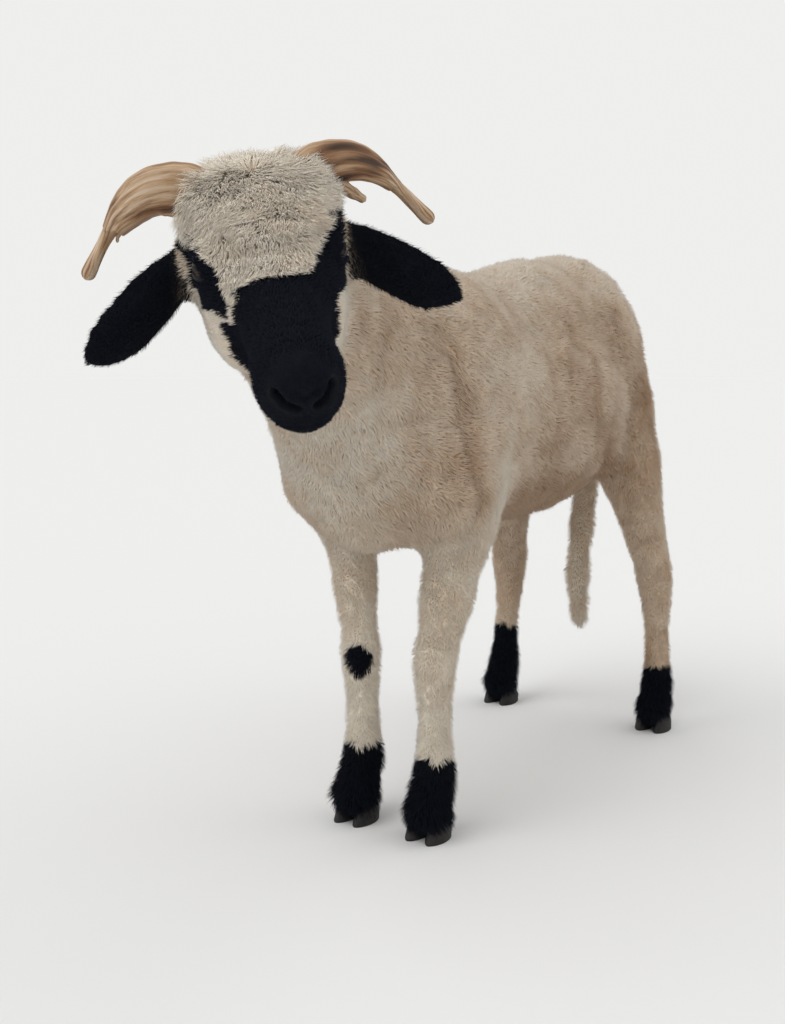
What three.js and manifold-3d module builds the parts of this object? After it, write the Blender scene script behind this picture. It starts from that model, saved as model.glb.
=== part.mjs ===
// A life-size horned sheep, shorn, standing on its four feet with its head turned to its left and tipped.
// Millimetres, +Z up. The sheep faces -Y and its left side is +X. The floor is z = 0, and the origin lies
// on it under the middle of the sheep's bounding box.
//
// The flesh is a smooth blend of named forms: ribs, muscles, joints and bones. Each piece of the body is a
// closed skin of rings that is wrapped round a line through that blend, so neighbouring pieces share one
// surface. A piece is then let into its neighbour with a thin cut. All sizes reach out to the coat's tips.
import * as THREE from "three";
import { mergeVertices } from "three/addons/utils/BufferGeometryUtils.js";
import Module from "manifold-3d";

const wasm = await Module();
wasm.setup();

// ---- Driving dimensions -------------------------------------------------------------------------

const cut = 0.35; // the gap between neighbouring pieces
const withers = { y: -215, z: 682 }; // the top of the shoulders
const back = { y: -105, z: 664 }; // its lowest part
const loin = { y: 45, z: 698 };
const rump = { y: 186, z: 712 }; // the highest part of the sheep's top line
const tailHead = { y: 308, z: 640 };
// The middles of the feet, and how far the hair of a foot spreads.
const foot = { fore: -262, hind: 276, foreOut: 52, hindOut: 130.5, foreHair: 34, hindHair: 31 };
const foreLegs = {
  left: { elbow: [64, -214, 370], fill: 32, knee: 27 }, // reaches forward from the elbow, with fuller wool
  right: { elbow: [-74, -244, 370], fill: 27, knee: 24 }, // stands straight under the shoulder
};
const head = { turn: 46.8, nod: 29.2, tilt: -11.1, scale: 1.1 }; // degrees: to its left, nose down, over
const headPlace = new THREE.Vector3(116, -632, 642); // the point midway between the eyes
const eyeball = { radius: 14, bulge: 4 };
const horn = { width: 23, thickness: 15.5, tip: 6 }; // half sizes at the root, and the tip's radius
const ear = { width: 28, thickness: 8, cup: 8 }; // half sizes, and how deep it is hollowed
const claw = { length: 54, width: 25, height: 36, gap: 3 };

// ---- Forms: each gives the distance of a point from its surface, negative inside ----------------

const at = (x, y, z) => new THREE.Vector3(x, y, z);

function ball(centre, radii, melt = 30) {
  const squared = radii.clone().multiply(radii);
  const distance = (p) => {
    const d = p.clone().sub(centre);
    const near = d.clone().divide(radii).length();
    const slope = d.clone().divide(squared).length();
    return slope > 0 ? (near * (near - 1)) / slope : -Math.min(radii.x, radii.y, radii.z);
  };
  return { distance, melt };
}

function limb(from, to, fromRadius, toRadius, melt = 20) {
  const along = to.clone().sub(from);
  const lengthSquared = along.lengthSq();
  const distance = (p) => {
    const d = p.clone().sub(from);
    const t = THREE.MathUtils.clamp(d.dot(along) / lengthSquared, 0, 1);
    return d.addScaledVector(along, -t).length() - THREE.MathUtils.lerp(fromRadius, toRadius, t);
  };
  return { distance, melt };
}

// Forms that melt into each other, each over its own width.
function blend(forms) {
  return (p) =>
    forms.reduce((total, { distance, melt }) => {
      const d = distance(p);
      const overlap = Math.max(melt - Math.abs(total - d), 0);
      return Math.min(total, d) - (overlap * overlap) / (4 * melt);
    }, 1e6);
}

const mirrored = (make) => [1, -1].flatMap((side) => make(side));

// ---- Skins: closed meshes of rings round a line -------------------------------------------------

// Rows of points as one closed surface, with a fan to a pole at each end.
function closeRows(rows, startPole, endPole) {
  const sides = rows[0].length;
  const points = [startPole, ...rows.flat(), endPole];
  const index = [];
  const id = (row, side) => 1 + row * sides + (side % sides);
  for (let side = 0; side < sides; side++) {
    index.push(0, id(0, side + 1), id(0, side));
    index.push(points.length - 1, id(rows.length - 1, side), id(rows.length - 1, side + 1));
    for (let row = 0; row + 1 < rows.length; row++) {
      index.push(id(row, side), id(row, side + 1), id(row + 1, side + 1));
      index.push(id(row, side), id(row + 1, side + 1), id(row + 1, side));
    }
  }
  const geometry = new THREE.BufferGeometry().setFromPoints(points);
  geometry.setIndex(index);
  return geometry;
}

// The line's direction at t, with one vector across it and one above it.
function frameAt(line, t, above) {
  const ahead = line.getTangent(t).normalize();
  const across = new THREE.Vector3().crossVectors(above, ahead).normalize();
  return { ahead, across, up: new THREE.Vector3().crossVectors(ahead, across) };
}

// How far a ray from inside the flesh goes before it leaves it, up to reach.
function wayOut(flesh, from, direction, reach) {
  const insideAt = (gone) => -flesh(from.clone().addScaledVector(direction, gone));
  let within = 0;
  let beyond = 0;
  for (let depth = insideAt(0); depth > 0 && beyond < reach; depth = insideAt(beyond)) {
    within = beyond;
    beyond += THREE.MathUtils.clamp(depth * 0.6, 2, 20);
  }
  if (beyond >= reach) return reach;
  for (let halving = 0; halving < 10; halving++) {
    const middle = (within + beyond) / 2;
    if (insideAt(middle) > 0) within = middle;
    else beyond = middle;
  }
  return Math.max(within, 0.5);
}

// Wraps the flesh round a line. Round ends have their own rings, which lean over to a pole. grow gives room
// for a cut.
function wrap(flesh, points, options) {
  const { rings, sides, above, reach = () => 1e3, roundStart = 0, roundEnd = 0, grow = 0 } = options;
  const line = new THREE.CatmullRomCurve3(points);
  const quarter = Math.PI / 2;
  const stations = [];
  for (let i = 1; i < roundStart; i++) stations.push({ t: 0, lean: -quarter * (1 - i / roundStart) });
  for (let i = 0; i <= rings; i++) stations.push({ t: i / rings, lean: 0 });
  for (let i = 1; i < roundEnd; i++) stations.push({ t: 1, lean: quarter * (i / roundEnd) });

  const reachOut = (t, direction) => {
    const from = line.getPoint(t);
    const far = wayOut(flesh, from, direction, reach(from, direction));
    return from.clone().addScaledVector(direction, far + grow);
  };
  const rows = stations.map(({ t, lean }) => {
    const { ahead, across, up } = frameAt(line, t, above);
    return Array.from({ length: sides }, (_, side) => {
      const angle = (side / sides) * 2 * Math.PI;
      const direction = new THREE.Vector3()
        .addScaledVector(across, Math.cos(angle) * Math.cos(lean))
        .addScaledVector(up, Math.sin(angle) * Math.cos(lean))
        .addScaledVector(ahead, Math.sin(lean));
      return reachOut(t, direction);
    });
  });
  const pole = (t, isRound, sign) => {
    const { ahead } = frameAt(line, t, above);
    if (isRound) return reachOut(t, ahead.multiplyScalar(sign));
    return line.getPoint(t).addScaledVector(ahead, sign * grow);
  };
  return closeRows(rows, pole(0, roundStart > 0, -1), pole(1, roundEnd > 0, 1));
}

// Rings of a given section along a line. section(t, angle) is how far a point lies across it and above it.
function loft(points, { rings, sides, above, section, startBulge, endBulge }) {
  const line = new THREE.CatmullRomCurve3(points);
  const rows = Array.from({ length: rings + 1 }, (_, i) => {
    const t = i / rings;
    const { across, up } = frameAt(line, t, above);
    return Array.from({ length: sides }, (_, side) => {
      const [aside, aloft] = section(t, (side / sides) * 2 * Math.PI);
      return line.getPoint(t).addScaledVector(across, aside).addScaledVector(up, aloft);
    });
  });
  const pole = (t, bulge) => line.getPoint(t).addScaledVector(frameAt(line, t, above).ahead, bulge);
  return closeRows(rows, pole(0, -startBulge), pole(1, endBulge));
}

function solidOf(geometry) {
  const bare = geometry.clone();
  bare.deleteAttribute("normal");
  bare.deleteAttribute("uv");
  const merged = mergeVertices(bare, 1e-3);
  return new wasm.Manifold(
    new wasm.Mesh({
      numProp: 3,
      vertProperties: merged.attributes.position.array,
      triVerts: new Uint32Array(merged.index.array),
    }),
  );
}

function geometryOf(solid) {
  const mesh = solid.getMesh();
  const geometry = new THREE.BufferGeometry();
  geometry.setAttribute("position", new THREE.BufferAttribute(new Float32Array(mesh.vertProperties), 3));
  geometry.setIndex(new THREE.BufferAttribute(new Uint32Array(mesh.triVerts), 1));
  geometry.computeVertexNormals();
  return geometry;
}

// ---- The head's own frame: nose to -Y and level, before it is turned ----------------------------

const headTurn = new THREE.Matrix4().makeRotationFromEuler(
  new THREE.Euler(
    THREE.MathUtils.degToRad(head.nod),
    THREE.MathUtils.degToRad(head.tilt),
    THREE.MathUtils.degToRad(head.turn),
    "ZXY",
  ),
);
const headMatrix = new THREE.Matrix4()
  .makeTranslation(headPlace)
  .multiply(headTurn)
  .multiply(new THREE.Matrix4().makeScale(head.scale, head.scale, head.scale));
const fromHead = headMatrix.clone().invert();
const onHead = (x, y, z) => at(x, y, z).applyMatrix4(headMatrix);
const headUp = at(0, 0, 1).transformDirection(headTurn);

// A form given in the head's frame, for use in the sheep's.
function carriedByHead({ distance, melt }) {
  const inSheep = (p) => distance(p.clone().applyMatrix4(fromHead)) * head.scale;
  return { distance: inSheep, melt: melt * head.scale };
}

const headForms = [
  ball(at(0, 42, 8), at(53, 68, 50), 20), // skull
  ball(at(0, 0, 14), at(56, 42, 36), 20), // orbits
  limb(at(0, 10, 6), at(0, -104, -10), 41, 30, 24), // nose bridge
  ball(at(0, -112, -20), at(34, 35, 32), 16), // muzzle
  limb(at(0, -112, -42), at(0, 10, -48), 16, 28, 20), // lower jaw
  ...mirrored((side) => ball(at(side * 31, 20, -32), at(27, 55, 46), 20)), // cheeks
  ball(at(0, 60, 40), at(66, 50, 40), 22), // the woolly poll
  ball(at(0, 18, 40), at(46, 36, 20), 20), // the forelock
].map(carriedByHead);

// ---- Joints and muscles of the body -------------------------------------------------------------

const nape = onHead(0, 80, -34);
const neckForms = [
  limb(at(0, -285, 550), nape, 106, 60, 60),
  limb(at(0, -240, 600), onHead(0, 84, -26), 72, 44, 40), // the crest of the neck
  limb(at(0, -345, 480), onHead(0, 66, -40), 80, 44, 50), // the throat
];

const trunkForms = [
  ball(at(0, -120, 505), at(124, 215, 158), 40), // ribs
  ball(at(0, 50, 500), at(140, 190, 150), 50), // belly
  ball(at(0, 196, 574), at(112, 108, 120), 40), // hips
  limb(at(0, withers.y, withers.z - 78), at(0, back.y, back.z - 80), 72, 74, 40),
  limb(at(0, back.y, back.z - 80), at(0, loin.y, loin.z - 86), 74, 78, 40),
  limb(at(0, loin.y, loin.z - 86), at(0, rump.y, rump.z - 90), 78, 80, 40),
  limb(at(0, rump.y, rump.z - 96), at(0, tailHead.y - 50, tailHead.z - 50), 80, 56, 40),
  ball(at(0, -312, 462), at(88, 74, 118), 50), // breast
  ...mirrored((side) => [
    ball(at(side * 76, -225, 520), at(50, 88, 150), 40), // shoulder
    limb(at(side * 56, 200, 590), at(side * 80, 208, 490), 58, 52, 30), // haunch
    limb(at(side * 58, 238, 560), at(side * 88, 250, 420), 46, 35, 24), // hamstrings
  ]),
];

function foreJoints(side) {
  const out = side * foot.foreOut;
  const { elbow, fill, knee } = side > 0 ? foreLegs.left : foreLegs.right;
  return {
    fill,
    kneeRadius: knee,
    shoulder: at(side * 80, -284, 434),
    elbow: at(...elbow),
    knee: at(side * 52, foot.fore + 12, 212),
    fetlock: at(out, foot.fore + 15, 86),
    coronet: at(out, foot.fore, 36),
  };
}

function hindJoints(side) {
  const out = side * foot.hindOut;
  return {
    stifle: at(side * 104, 216, 400),
    hock: at(side * 123, foot.hind + 8, 226),
    heel: at(side * 121, foot.hind + 34, 262),
    fetlock: at(out, foot.hind + 10, 86),
    coronet: at(out, foot.hind, 36),
  };
}

// The foot: the pastern, the dewclaws behind it and the long hair, which spreads over the hoof.
function footForms(fetlock, coronet, hair) {
  return [
    ball(fetlock, at(hair - 9, hair - 8, 28), 12),
    limb(fetlock, coronet, hair - 8, hair - 4, 14),
    ball(fetlock.clone().add(at(0, 20, -10)), at(18, 14, 16), 10),
    ball(coronet.clone().add(at(0, -5, -3)), at(hair, hair + 3, 28), 12),
  ];
}

function foreForms(side) {
  const { fill, kneeRadius, shoulder, elbow, knee, fetlock, coronet } = foreJoints(side);
  const middle = elbow.clone().lerp(knee, 0.5);
  return [
    limb(shoulder, elbow, 61, fill + 10, 30), // upper arm
    limb(elbow, middle, fill + 6, fill, 24),
    limb(middle, knee, fill, kneeRadius, 20),
    ball(knee.clone().add(at(0, -3, -6)), at(kneeRadius, 28, 36), 14),
    limb(knee, fetlock, 24, 22, 12),
    ...footForms(fetlock, coronet, foot.foreHair),
  ];
}

function hindForms(side) {
  const { stifle, hock, heel, fetlock, coronet } = hindJoints(side);
  return [
    limb(at(side * 80, 208, 490), stifle, 52, 42, 30), // thigh
    limb(stifle, hock, 42, 25, 24),
    limb(at(side * 90, 252, 420), heel, 35, 13, 24), // the tendon above the hock
    limb(heel, hock.clone().add(at(0, 16, -34)), 14, 16, 14),
    ball(hock, at(26, 30, 34), 14),
    limb(hock, fetlock, 23, 20, 14),
    ...footForms(fetlock, coronet, foot.hindHair),
  ];
}

const tailLine = [
  at(0, tailHead.y - 42, tailHead.z - 12),
  at(0, tailHead.y + 12, tailHead.z - 56),
  at(-3, tailHead.y + 21, 490),
  at(-8, tailHead.y + 12, 380),
  at(-11, tailHead.y + 4, 300),
  at(-11, tailHead.y - 9, 220),
  at(-11, tailHead.y + 1, 148),
];
const tailForms = tailLine.slice(1).map((to, i) => limb(tailLine[i], to, 27 - i * 1.4, 26 - i * 1.2, 14));

const legForms = [...mirrored(foreForms), ...mirrored(hindForms)];
const flesh = blend([...trunkForms, ...neckForms, ...headForms, ...legForms]);

// ---- Pieces -------------------------------------------------------------------------------------

const front = at(0, -1, 0);
const top = at(0, 0, 1);

// A form is made twice: as itself, and grown by the cut to be taken out of its neighbour.
const pair = (make) => ({ solid: make(0), room: make(cut) });

// The part of a solid that is behind a plane, and the part in front of one a cut further on.
function behind(solid, { normal, through }) {
  return solid.trimByPlane(normal.clone().negate().toArray(), -normal.dot(through));
}
function ahead(solid, { normal, through }) {
  return solid.trimByPlane(normal.toArray(), normal.dot(through) + cut);
}

const collar = { normal: at(0, -0.835, 0.55).normalize(), through: at(0, -250, 690) };
const throat = {
  normal: at(0, -0.957, 0.286).transformDirection(headTurn),
  through: onHead(0, 92, 62),
};

const headWrap = solidOf(
  wrap(flesh, [onHead(0, -104, -24), onHead(0, -50, -14), onHead(0, 20, -2), onHead(0, 56, 2)], {
    rings: 13, sides: 20, above: headUp, roundStart: 5, roundEnd: 3, reach: () => 150,
  }),
);

const neckRoot = at(6, -330, 575);
const neckLine = [at(0, -235, 545), neckRoot, nape.clone().lerp(neckRoot, 0.4), onHead(0, 40, -4)];
const neckWrap = solidOf(wrap(flesh, neckLine, { rings: 9, sides: 24, above: top, reach: () => 260 }));

// The trunk's rays stop at the brisket and the groin, and don't run down into the legs.
const underside = (y) => THREE.MathUtils.lerp(340, 452, THREE.MathUtils.smoothstep(y, 100, 225));
const trunkLine = [at(0, -275, 505), at(0, -100, 520), at(0, 80, 530), at(0, 225, 560)];
const trunkWrap = solidOf(
  wrap(flesh, trunkLine, {
    rings: 11, sides: 24, above: top, roundStart: 6, roundEnd: 5,
    reach: (from, { z }) => (z < 0 ? Math.min((from.z - underside(from.y)) / -z, 300) : 300),
  }),
);

// A leg is what the flesh holds within a plain sleeve, whose round top reaches up into the body.
function leg(line, sleeve) {
  const lengths = sleeve.slice(1).map((end, i) => limb(sleeve[i].at, end.at, sleeve[i].r, end.r, 10));
  const sleeveFlesh = blend(lengths);
  const axis = sleeve.map((end) => end.at);
  const { solid, room } = pair((grow) =>
    solidOf(wrap(sleeveFlesh, axis, { rings: 3, sides: 12, above: front, roundStart: 4, grow })),
  );
  const skin = wrap(flesh, line, { rings: 17, sides: 12, above: front, reach: () => 96, roundStart: 3 });
  return { solid: solidOf(skin).intersect(solid), room };
}

function foreLeg(side) {
  const { elbow, knee, fetlock, coronet } = foreJoints(side);
  const sole = coronet.clone().add(at(0, -2, -26));
  return leg([at(side * 72, elbow.y + 4, 446), elbow, elbow.clone().lerp(knee, 0.5), knee, fetlock, sole], [
    { at: at(side * 72, elbow.y, 440), r: 64 },
    { at: at(side * 58, -236, 300), r: 52 },
    { at: at(side * 52, foot.fore + 10, 200), r: 46 },
    { at: at(side * 53, foot.fore, 0), r: 50 },
  ]);
}

function hindLeg(side) {
  const { stifle, hock, fetlock, coronet } = hindJoints(side);
  const thigh = at(side * 92, 222, 470);
  const sole = coronet.clone().add(at(0, -2, -26));
  return leg([thigh, stifle, stifle.clone().lerp(hock, 0.5), hock, fetlock, sole], [
    { at: at(side * 92, 222, 470), r: 80 },
    { at: at(side * 114, 244, 340), r: 66 },
    { at: at(side * 123, foot.hind + 14, 230), r: 60 },
    { at: at(side * 130, foot.hind, 0), r: 62 },
  ]);
}

const tailShape = { rings: 12, sides: 10, above: front, roundStart: 2, roundEnd: 3 };
const tail = pair((grow) => solidOf(wrap(blend(tailForms), tailLine, { ...tailShape, grow })));

// A flat-soled claw: outlines from the sole up to the coronet, with the toe to the front.
function clawAt(x, y) {
  return pair((grow) => {
    const outline = (z, size, shift) =>
      Array.from({ length: 12 }, (_, i) => {
        const angle = (i / 12) * 2 * Math.PI;
        const toe = Math.sin(angle) < 0 ? 1 : 0.8; // the heel is blunter than the toe
        const across = (Math.cos(angle) * claw.width * size) / 2;
        const along = (Math.sin(angle) * claw.length * size * toe) / 2;
        return at(x + across + Math.sign(across) * grow, y + along + shift + Math.sign(along) * grow, z);
      });
    const rows = [outline(0, 1, 0), outline(claw.height * 0.5, 0.93, 3), outline(claw.height + grow, 0.8, 8)];
    return solidOf(closeRows(rows, at(x, y, 0), at(x, y + 8, claw.height + grow)));
  });
}

// The eye lies along a ray out of the head, and its front stands out of the face by its bulge.
function eye(side) {
  const from = onHead(side * 20, 10, 18);
  const direction = onHead(side * 60, 2, 24).sub(from).normalize();
  const depth = wayOut(flesh, from, direction, 90) - eyeball.radius + eyeball.bulge;
  const centre = from.addScaledVector(direction, depth);
  return pair((grow) => {
    const sphere = new THREE.SphereGeometry(eyeball.radius + grow, 12, 7);
    return solidOf(sphere.translate(centre.x, centre.y, centre.z));
  });
}

// A groove or a hollow pressed into the muzzle along a line.
function pressed(points, radius, rings) {
  const line = points.map(([x, y, z]) => onHead(x, y, z));
  const forms = line.slice(1).map((to, i) => limb(line[i], to, radius, radius, 1));
  const shape = { rings, sides: 5, above: headUp, roundStart: 1, roundEnd: 1 };
  return { room: solidOf(wrap(blend(forms), line, shape)) };
}
const lips = [[-31, -112, -42], [-20, -134, -41], [0, -144, -40], [20, -134, -41], [31, -112, -42]];
const mouth = pressed(lips, 2.4, 6);
function nostril(side) {
  return pressed([[side * 8, -148, -20], [side * 16, -144, -17], [side * 22, -136, -9]], 3.6, 3);
}

const smooth = (from, to, t) => THREE.MathUtils.smoothstep(t, from, to);

// A hanging leaf with its hollow side to the front.
function earOn(side) {
  const line = [at(52, 64, 4), at(72, 58, -8), at(106, 38, -28), at(134, 29, -46), at(159, 36, -60)];
  return pair((grow) => {
    const section = (t, angle) => {
      const leaf = (0.72 + 0.28 * smooth(0.12, 0.45, t)) * Math.sqrt(Math.max(1 - smooth(0.7, 1.05, t), 0));
      const aside = Math.cos(angle) * (ear.width * leaf + grow);
      const thick = ear.thickness * (1.5 - 0.9 * t) + grow;
      return [aside, Math.sin(angle) * thick - ear.cup * (aside / ear.width) ** 2];
    };
    const shape = loft(line.map((p) => at(side * p.x, p.y, p.z)), {
      rings: 10, sides: 12, above: at(side * -0.42, -0.86, 0.15), section, startBulge: 0, endBulge: 1.5,
    });
    return solidOf(shape.applyMatrix4(headMatrix));
  });
}

// A young horn: flat, out of the poll to the side, then down and forward to a blunt tip.
function hornOn(side) {
  const root = [at(40, 66, 52), at(55, 70, 58), at(78, 70, 60)];
  const line = [...root, at(100, 75, 47), at(119, 84, 24), at(134, 82, 6), at(145, 73, -6)];
  return pair((grow) => {
    const section = (t, angle) => {
      const full = 1 - smooth(0.12, 0.84, t);
      const wide = THREE.MathUtils.lerp(horn.tip, horn.width, full) + grow;
      const thick = THREE.MathUtils.lerp(horn.tip, horn.thickness, full) + grow;
      return [Math.cos(angle) * thick, Math.sin(angle) * wide];
    };
    const shape = loft(line.map((p) => at(side * p.x, p.y, p.z)), {
      rings: 12, sides: 10, above: at(0, 0, 1), section, startBulge: 0, endBulge: 4,
    });
    return solidOf(shape.applyMatrix4(headMatrix));
  });
}

// ---- The whole sheep ----------------------------------------------------------------------------

const finish = {
  wool: new THREE.MeshStandardMaterial({ color: 0xd8c0a2, roughness: 0.95, metalness: 0 }),
  black: new THREE.MeshStandardMaterial({ color: 0x15151a, roughness: 0.85, metalness: 0 }),
  horn: new THREE.MeshStandardMaterial({ color: 0xa9835a, roughness: 0.7, metalness: 0 }),
  hoof: new THREE.MeshStandardMaterial({ color: 0x2e2a27, roughness: 0.6, metalness: 0 }),
  eye: new THREE.MeshStandardMaterial({ color: 0x2a1c10, roughness: 0.08, metalness: 0 }),
};

const sheep = new THREE.Group();
function add(name, solid, material) {
  const mesh = new THREE.Mesh(geometryOf(solid), material);
  mesh.name = name;
  sheep.add(mesh);
}
const without = (solid, ...pieces) => pieces.reduce((left, piece) => left.subtract(piece.room), solid);

const legs = {
  fore_leg_left: foreLeg(1),
  fore_leg_right: foreLeg(-1),
  hind_leg_left: hindLeg(1),
  hind_leg_right: hindLeg(-1),
};
const claws = {};
for (const [name, y, out] of [["fore", foot.fore, foot.foreOut], ["hind", foot.hind, foot.hindOut]]) {
  for (const [hand, side] of [["left", 1], ["right", -1]]) {
    for (const [place, step] of [["inner", -1], ["outer", 1]]) {
      const x = side * (out + (step * (claw.width + claw.gap)) / 2);
      claws[`claw_${name}_${hand}_${place}`] = clawAt(x, y);
    }
  }
}
const features = { left: 1, right: -1 };
const eyes = Object.entries(features).map(([hand, side]) => [`eye_${hand}`, eye(side)]);
const ears = Object.entries(features).map(([hand, side]) => [`ear_${hand}`, earOn(side)]);
const horns = Object.entries(features).map(([hand, side]) => [`horn_${hand}`, hornOn(side)]);
const setIn = [...eyes, ...ears, ...horns].map(([, piece]) => piece);

add("head", without(ahead(headWrap, throat), ...setIn, mouth, nostril(1), nostril(-1)), finish.wool);
add("neck", without(behind(ahead(neckWrap, collar), throat), ...setIn), finish.wool);
add("trunk", without(behind(trunkWrap, collar), tail, ...Object.values(legs)), finish.wool);
for (const [name, leg] of Object.entries(legs)) {
  add(name, without(leg.solid, tail, ...Object.values(claws)), finish.wool);
}
add("tail", tail.solid, finish.wool);
for (const [name, piece] of ears) add(name, piece.solid, finish.black);
for (const [name, piece] of horns) add(name, piece.solid, finish.horn);
for (const [name, piece] of eyes) add(name, piece.solid, finish.eye);
for (const [name, piece] of Object.entries(claws)) add(name, piece.solid, finish.hoof);

// The origin goes to the floor under the middle of the whole sheep.
const middle = new THREE.Box3().setFromObject(sheep).getCenter(at(0, 0, 0));
for (const mesh of sheep.children) mesh.geometry.translate(-middle.x, -middle.y, 0);

export default sheep;
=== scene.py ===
# A shorn, horned sheep: one skin inside the solids, a coat of mesh tufts, horns, eyes and claws.
import math

import bmesh
import bpy
import numpy as np
from mathutils import Matrix, Vector
from mathutils.bvhtree import BVHTree
from mathutils.kdtree import KDTree


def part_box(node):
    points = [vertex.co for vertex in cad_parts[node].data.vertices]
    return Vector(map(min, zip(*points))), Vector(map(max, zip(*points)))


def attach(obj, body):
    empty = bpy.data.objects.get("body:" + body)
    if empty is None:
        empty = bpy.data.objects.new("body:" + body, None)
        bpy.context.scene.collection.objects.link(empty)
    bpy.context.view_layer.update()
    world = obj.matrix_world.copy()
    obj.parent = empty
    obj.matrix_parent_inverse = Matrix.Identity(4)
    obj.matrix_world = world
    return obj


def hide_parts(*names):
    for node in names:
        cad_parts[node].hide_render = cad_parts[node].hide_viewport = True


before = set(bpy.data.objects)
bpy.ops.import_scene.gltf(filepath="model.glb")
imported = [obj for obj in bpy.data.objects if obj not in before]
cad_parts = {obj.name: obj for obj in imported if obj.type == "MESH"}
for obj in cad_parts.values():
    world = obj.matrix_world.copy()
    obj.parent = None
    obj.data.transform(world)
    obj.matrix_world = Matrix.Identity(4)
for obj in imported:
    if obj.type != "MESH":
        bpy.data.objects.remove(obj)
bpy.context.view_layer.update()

scene = bpy.context.scene
mm = 0.001


# Places that the rest is worked out from: the feet, the eyes and the head's own axes

def middleOf(*names):
    corners = [Vector(corner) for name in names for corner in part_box(name)]
    return sum(corners, Vector()) / len(corners)


def clawNames(*words):
    names = [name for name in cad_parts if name.startswith("claw_")]
    return [name for name in names if all(word in name for word in words)]


foreFeet = middleOf(*clawNames("fore"))
headPose = {"turn": 46.8, "nod": 29.2, "tilt": -11.1, "scale": 1.1, "eyesFromBrow": (0, 4.6, 22.05)}
headTurn = (
    Matrix.Rotation(math.radians(headPose["turn"]), 3, "Z")
    @ Matrix.Rotation(math.radians(headPose["nod"]), 3, "X")
    @ Matrix.Rotation(math.radians(headPose["tilt"]), 3, "Y")
)
headUnit = headPose["scale"] * mm  # the head's own millimetres, nose to -Y, brow at 0
headPlace = middleOf("eye_left", "eye_right") - headTurn @ Vector(headPose["eyesFromBrow"]) * headUnit
headAxes = np.array(headTurn)


def onHead(x, y, z):
    return headPlace + headTurn @ Vector((x, y, z)) * headUnit


# Places of the scene in the head's own millimetres, and back again
def fromHead(points):
    return (points - np.array(headPlace)) @ headAxes / headUnit


def intoScene(points):
    return points * headUnit @ headAxes.T + np.array(headPlace)


# A line drawn for the left side, on either side
def onSide(side, line):
    return [(side * x, y, z) for x, y, z in line]


def addObject(name, data):
    thing = bpy.data.objects.new(name, data)
    scene.collection.objects.link(thing)
    return thing


# Small tools for numbers in arrays

def smooth(low, high, value):
    part = np.clip((value - low) / (high - low), 0, 1)
    return part * part * (3 - 2 * part)


# 1 at zero, falling away on both sides
def bell(value):
    return np.exp(-(value**2))


# What is left of a shape's width past the place where its end starts to round off
def roundedEnd(past, least=0.02):
    return np.sqrt(np.clip(1 - past.clip(0, 1) ** 2, least, 1))


def unit(vectors):
    return vectors / np.maximum(np.linalg.norm(vectors, axis=1, keepdims=True), 1e-12)


# Lumpy noise between -1 and 1, with lumps about size across
def lumps(points, size, seed):
    grid = points / size + seed * 17.31
    cell = np.floor(grid).astype(np.int64)
    part = grid - cell
    part = part * part * (3 - 2 * part)
    total = np.zeros(len(points))
    for corner in np.ndindex(2, 2, 2):
        x, y, z = (cell + corner).T
        mixed = (x * 73856093) ^ (y * 19349663) ^ (z * 83492791) ^ (seed * 2654435)
        mixed = (mixed ^ (mixed >> 13)) * 1274126177 & 0x7FFFFFFF
        mixed = (mixed ^ (mixed >> 11)) & 0xFFFF
        weight = np.prod(np.where(corner, part, 1 - part), axis=1)
        total += weight * (mixed / 32767.5 - 1)
    return total


# How far points are from a bent line, and how far along it the nearest place is
def fromLine(points, line):
    line = np.array(line, float)
    nearest = np.full(len(points), 1e9)
    along = np.zeros(len(points))
    for i, (start, end) in enumerate(zip(line, line[1:])):
        run = end - start
        part = np.clip((points - start) @ run / (run @ run), 0, 1)
        gap = np.linalg.norm(points - start - part[:, None] * run, axis=1)
        closer = gap < nearest
        along[closer] = (i + part[closer]) / (len(line) - 1)
        nearest = np.minimum(nearest, gap)
    return nearest, along


# What each thing of a mesh says under a word, as rows of width numbers
def rowsOf(things, word, width, kind=float):
    rows = np.empty(len(things) * width, kind)
    things.foreach_get(word, rows)
    return rows.reshape(-1, width)


def placesOf(mesh):
    return rowsOf(mesh.vertices, "co", 3)


def normalsOf(mesh):
    return rowsOf(mesh.vertices, "normal", 3)


def move(mesh, places):
    mesh.vertices.foreach_set("co", places.ravel())
    mesh.update()


# A function that gives every vertex the mean of its neighbours' values
def neighboursMean(mesh):
    edges = rowsOf(mesh.edges, "vertices", 2, int)
    ends = np.concatenate([edges, edges[:, ::-1]])
    order = np.argsort(ends[:, 0], kind="stable")
    ends = ends[order]
    starts = np.searchsorted(ends[:, 0], np.arange(len(mesh.vertices)))
    counts = np.bincount(ends[:, 0], minlength=len(mesh.vertices))[:, None]

    def mean(values):
        return np.add.reduceat(values[ends[:, 1]], starts, axis=0) / counts

    return mean


def addAttribute(mesh, name, values):
    mesh.attributes.new(name, "FLOAT", "POINT").data.foreach_set("value", values.astype(np.float32))


# Materials

coatLook = {
    "tan": (0.50, 0.32, 0.19),
    "cream": (0.82, 0.66, 0.50),
    "pale": (0.97, 0.90, 0.78),
    "root": (0.92, 0.89, 0.85),  # painted shade: what a tuft's root is darkened by
    "black": (0.004, 0.005, 0.008),
    # painted highlight: black hair paler and bluer towards its tips
    "blackTipHighlight": (0.014, 0.017, 0.028),
    "grain": 420,
}


def newMaterial(name, **settings):
    material = bpy.data.materials.new(name)
    material.use_nodes = True
    shader = material.node_tree.nodes["Principled BSDF"]
    for socket, value in settings.items():
        shader.inputs[socket.replace("_", " ")].default_value = value
    return material, material.node_tree, shader


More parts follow.
